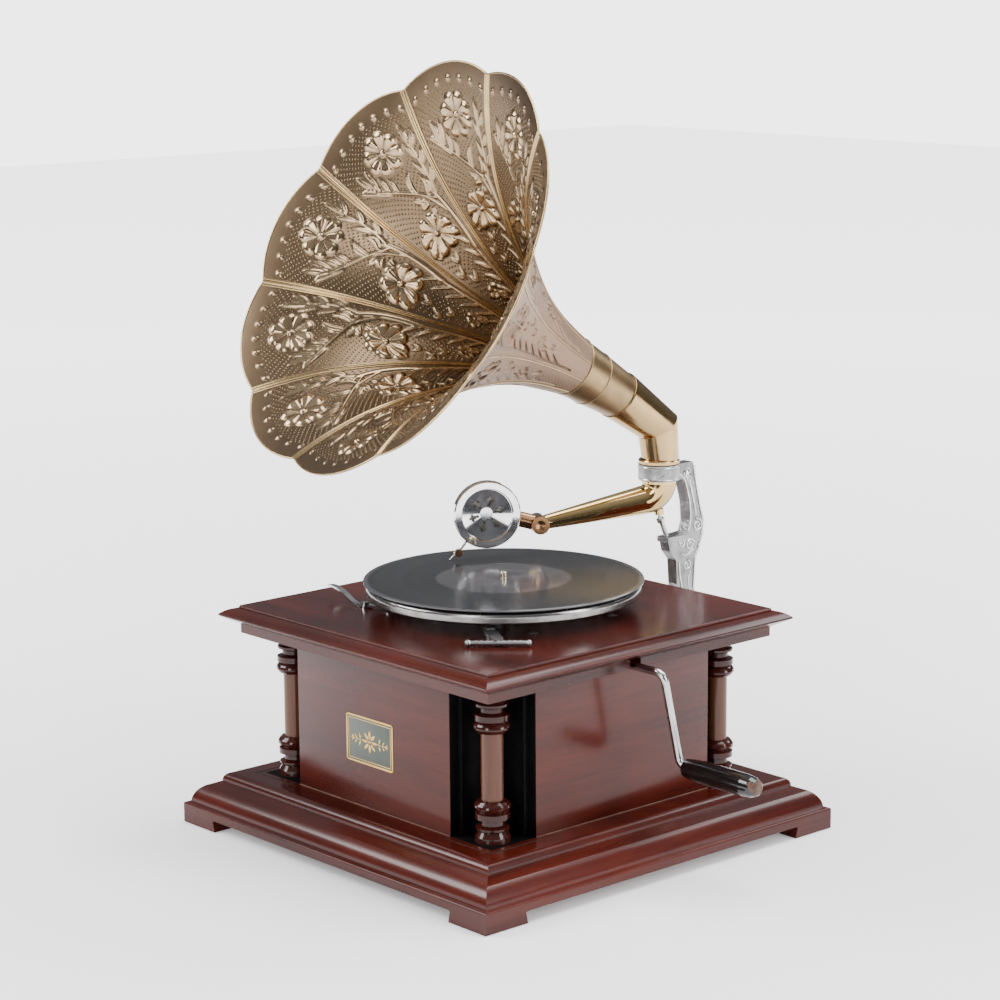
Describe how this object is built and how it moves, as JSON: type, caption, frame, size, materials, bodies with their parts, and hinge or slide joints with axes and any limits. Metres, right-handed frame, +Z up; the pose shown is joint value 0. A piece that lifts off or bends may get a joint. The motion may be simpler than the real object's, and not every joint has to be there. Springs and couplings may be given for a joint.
{
  "type": "wind up phonograph",
  "caption": "Table phonograph with a flared embossed outside horn on a rear bracket, swinging tone arm, turntable, side crank and a columned wooden cabinet.",
  "frame": {"origin": "centre of the cabinet's underside on the floor, under the turntable spindle", "axes": "+Z up, -Y the front with the ornament, +X the crank side, +Y the bracket side"},
  "size_m": [0.5191, 0.4639, 0.6957],
  "materials": {
    "mahogany": "glossy lacquer",
    "column_wood": "glossy lacquer",
    "black_board": "flat black stain",
    "ornament": "gold and green transfer",
    "antique_brass": "embossed antique brass",
    "polished_brass": "polished brass",
    "brown_brass": "brown lacquered brass",
    "cast_metal": "rough cast, tumbled",
    "chrome": "polished chrome",
    "steel": "bright steel",
    "spindle_metal": "worn brass",
    "mica": "thin mica",
    "gasket_rubber": "soft rubber",
    "felt": "wool felt",
    "shellac": "grooved black disc",
    "motor_iron": "black painted iron",
    "grip_wood": "black lacquer, worn at the tip",
    "black_bush": "black bush"
  },
  "bodies": {
    "cabinet": {"plinth_rails": "mahogany", "base_board": "mahogany", "front_panel": "mahogany", "right_panel": "mahogany", "rear_panel": "mahogany", "left_panel": "mahogany", "corner_liners": "black_board", "column_1": "column_wood", "column_2": "column_wood", "column_3": "column_wood", "column_4": "column_wood", "lid_subframe": "mahogany", "lid_rails": "mahogany", "top_board": "mahogany", "front_ornament": "ornament", "horn_bracket": "cast_metal", "bracket_screws": "steel", "pivot_pin": "steel", "motor_frame": "motor_iron", "motor_screws": "steel", "crank_ferrule": "black_bush", "brake_base": "steel"},
    "horn": {"horn_elbow": "antique_brass", "horn_lip_ring": "antique_brass", "horn_tail": "antique_brass", "horn_panel_01": "antique_brass", "horn_panel_02": "antique_brass", "horn_panel_03": "antique_brass", "horn_panel_04": "antique_brass", "horn_panel_05": "antique_brass", "horn_panel_06": "antique_brass", "horn_panel_07": "antique_brass", "horn_panel_08": "antique_brass", "horn_panel_09": "antique_brass", "horn_panel_10": "antique_brass"},
    "tone_arm": {"tone_arm": "polished_brass"},
    "soundbox": {"gooseneck": "brown_brass", "soundbox_case": "chrome", "soundbox_bezel": "chrome", "soundbox_grille": "chrome", "diaphragm": "mica", "diaphragm_gaskets": "gasket_rubber", "stylus_bar": "chrome", "needle": "steel", "needle_screw": "chrome"},
    "turntable": {"platter": "steel", "platter_felt": "felt", "record": "shellac", "spindle": "spindle_metal"},
    "barrel": {"spring_barrel": "motor_iron", "mainspring": "steel"},
    "arbor": {"winding_arbor": "steel"},
    "mid_wheel": {"intermediate_wheel": "spindle_metal"},
    "governor": {"governor": "steel"},
    "crank": {"crank_rod": "chrome"},
    "grip": {"crank_grip": "grip_wood"},
    "brake": {"brake_lever": "chrome", "brake_pad": "felt"},
    "speed": {"speed_lever": "chrome"}
  },
  "joints": [
    {"name": "horn_turn", "type": "hinge", "parent": "cabinet", "child": "horn", "pos_m": [0, 0.1977, 0.3119], "axis": [0, 0, 1], "range_deg": [-90, 90]},
    {"name": "tonearm_swing", "type": "hinge", "parent": "cabinet", "child": "tone_arm", "pos_m": [0, 0.1977, 0.2969], "axis": [0, 0, 1], "range_deg": [-50, 11]},
    {"name": "soundbox_lift", "type": "hinge", "parent": "tone_arm", "child": "soundbox", "pos_m": [-0.05912, 0.09731, 0.25944], "axis": [-0.8617, 0.5074, 0], "range_deg": [0, 50]},
    {"name": "platter_spin", "type": "hinge", "parent": "cabinet", "child": "turntable", "pos_m": [0, 0, 0.2], "axis": [0, 0, 1], "continuous": true},
    {"name": "barrel_turn", "type": "hinge", "parent": "cabinet", "child": "barrel", "pos_m": [0.066, 0, 0.14], "axis": [0, 0, 1], "continuous": true},
    {"name": "mid_wheel_spin", "type": "hinge", "parent": "cabinet", "child": "mid_wheel", "pos_m": [0.02277, 0.02979, 0.15], "axis": [0, 0, 1], "continuous": true},
    {"name": "governor_spin", "type": "hinge", "parent": "cabinet", "child": "governor", "pos_m": [-0.02, -0.0258, 0.1435], "axis": [1, 0, 0], "continuous": true},
    {"name": "crank_turn", "type": "hinge", "parent": "cabinet", "child": "crank", "pos_m": [0.15, 0, 0.182], "axis": [1, 0, 0], "continuous": true},
    {"name": "arbor_turn", "type": "hinge", "parent": "cabinet", "child": "arbor", "pos_m": [0.066, 0, 0.15], "axis": [0, 0, 1], "continuous": true},
    {"name": "grip_spin", "type": "hinge", "parent": "crank", "child": "grip", "pos_m": [0.25, 0.019, 0.0965], "axis": [1, 0, 0], "continuous": true},
    {"name": "brake_swing", "type": "hinge", "parent": "cabinet", "child": "brake", "pos_m": [-0.084, -0.0935, 0.208], "axis": [0, 0, 1], "range_deg": [-37, 0]},
    {"name": "speed_swing", "type": "hinge", "parent": "cabinet", "child": "speed", "pos_m": [0.072, -0.081, 0.208], "axis": [0, 0, 1], "range_deg": [-12, 12]}
  ],
  "couplings": [
    {"joint": "mid_wheel_spin", "follows": "platter_spin", "ratio": -0.25},
    {"joint": "barrel_turn", "follows": "platter_spin", "ratio": 0.041667},
    {"joint": "governor_spin", "follows": "platter_spin", "ratio": 10},
    {"joint": "arbor_turn", "follows": "crank_turn", "ratio": -1}
  ]
}
